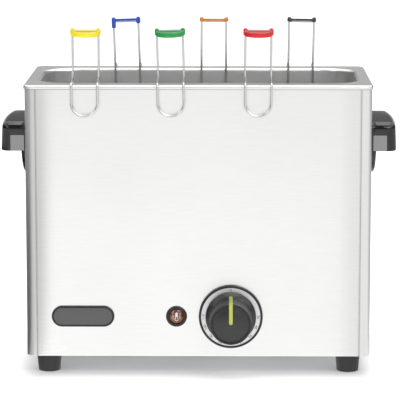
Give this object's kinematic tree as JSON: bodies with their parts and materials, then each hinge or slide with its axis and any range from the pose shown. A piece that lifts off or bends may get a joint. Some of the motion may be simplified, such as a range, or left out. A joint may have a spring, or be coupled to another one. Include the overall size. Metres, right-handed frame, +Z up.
{
  "type": "commercial egg boiler",
  "caption": "Counter-top egg boiler: sheet steel casing round a water tank, lift-out wire egg holders hooked on the rim, thermostat dial and side handles.",
  "frame": {"origin": "middle of the whole outer box, on the surface that the feet stand on", "axes": "+Z up, +X to the right seen from the front, +Y towards the back; the dial faces -Y"},
  "size_m": [0.421, 0.2548, 0.3634],
  "materials": {
    "drawn_stainless": "satin, drawn",
    "brushed_stainless": "brushed along the length",
    "galvanised_sheet": "zinc spangle",
    "zinc_plated_steel": "bright",
    "foot_rubber": "matt",
    "handle_plastic": "polished moulding",
    "badge_plastic": "satin",
    "black_nylon": "fine grain",
    "amber_lens": "clear amber",
    "lamp_glass": "clear",
    "dial_aluminium": "spun, anodised",
    "knob_plastic": "satin",
    "pointer_plastic": "satin",
    "electrical_moulding": "matt",
    "copper": "drawn",
    "heater_sheath": "oxidised",
    "brass": "turned",
    "brown_silicone": "matt",
    "earth_silicone": "matt",
    "bright_wire": "electropolished",
    "grip_yellow": "polished moulding",
    "grip_green": "polished moulding",
    "grip_red": "polished moulding",
    "grip_blue": "polished moulding",
    "grip_orange": "polished moulding",
    "grip_black": "polished moulding"
  },
  "bodies": {
    "casing": {"tank": "drawn_stainless", "body_wrap": "brushed_stainless", "front_panel": "brushed_stainless", "seam_strips": "galvanised_sheet", "bottom_plate": "galvanised_sheet", "small_screws": "zinc_plated_steel", "feet": "foot_rubber", "foot_screws": "zinc_plated_steel", "hex_nuts": "zinc_plated_steel", "handle_right": "handle_plastic", "handle_left": "handle_plastic", "badge_plate": "badge_plastic", "pilot_bezel": "black_nylon", "pilot_lens": "amber_lens", "pilot_lamp": "lamp_glass", "pilot_nut": "black_nylon", "dial_bezel": "black_nylon", "dial_plate": "dial_aluminium", "thermostat_body": "electrical_moulding", "sensor_bulb": "copper", "capillary": "copper", "heating_element": "heater_sheath", "element_pins": "brass", "clamp_bars": "galvanised_sheet", "clamp_studs": "zinc_plated_steel", "safety_cutout": "heater_sheath", "cable_gland": "black_nylon", "gland_nut": "black_nylon", "terminal_block": "electrical_moulding", "terminal_screws": "zinc_plated_steel", "earth_stud": "zinc_plated_steel", "power_leads": "brown_silicone", "earth_lead": "earth_silicone"},
    "dial_knob": {"knob": "knob_plastic", "knob_pointer": "pointer_plastic", "thermostat_shaft": "zinc_plated_steel"},
    "holder_yellow": {"holder_yellow_frame": "bright_wire", "holder_yellow_hook": "bright_wire", "holder_yellow_cradle": "bright_wire", "holder_yellow_grip": "grip_yellow"},
    "holder_green": {"holder_green_frame": "bright_wire", "holder_green_hook": "bright_wire", "holder_green_cradle": "bright_wire", "holder_green_grip": "grip_green"},
    "holder_red": {"holder_red_frame": "bright_wire", "holder_red_hook": "bright_wire", "holder_red_cradle": "bright_wire", "holder_red_grip": "grip_red"},
    "holder_blue": {"holder_blue_frame": "bright_wire", "holder_blue_hook": "bright_wire", "holder_blue_cradle": "bright_wire", "holder_blue_grip": "grip_blue"},
    "holder_orange": {"holder_orange_frame": "bright_wire", "holder_orange_hook": "bright_wire", "holder_orange_cradle": "bright_wire", "holder_orange_grip": "grip_orange"},
    "holder_black": {"holder_black_frame": "bright_wire", "holder_black_hook": "bright_wire", "holder_black_cradle": "bright_wire", "holder_black_grip": "grip_black"}
  },
  "joints": [
    {"name": "knob_turn", "type": "hinge", "parent": "casing", "child": "dial_knob", "pos_m": [0.0341, -0.0846, 0.063], "axis": [0, 1, 0], "range_deg": [0, 270]},
    {"name": "lift_yellow", "type": "slide", "parent": "casing", "child": "holder_yellow", "axis": [0, 0, 1], "range_m": [0, 0.1772]},
    {"name": "lift_green", "type": "slide", "parent": "casing", "child": "holder_green", "axis": [0, 0, 1], "range_m": [0, 0.1772]},
    {"name": "lift_red", "type": "slide", "parent": "casing", "child": "holder_red", "axis": [0, 0, 1], "range_m": [0, 0.1772]},
    {"name": "lift_blue", "type": "slide", "parent": "casing", "child": "holder_blue", "axis": [0, 0, 1], "range_m": [0, 0.1772]},
    {"name": "lift_orange", "type": "slide", "parent": "casing", "child": "holder_orange", "axis": [0, 0, 1], "range_m": [0, 0.1772]},
    {"name": "lift_black", "type": "slide", "parent": "casing", "child": "holder_black", "axis": [0, 0, 1], "range_m": [0, 0.1772]}
  ]
}
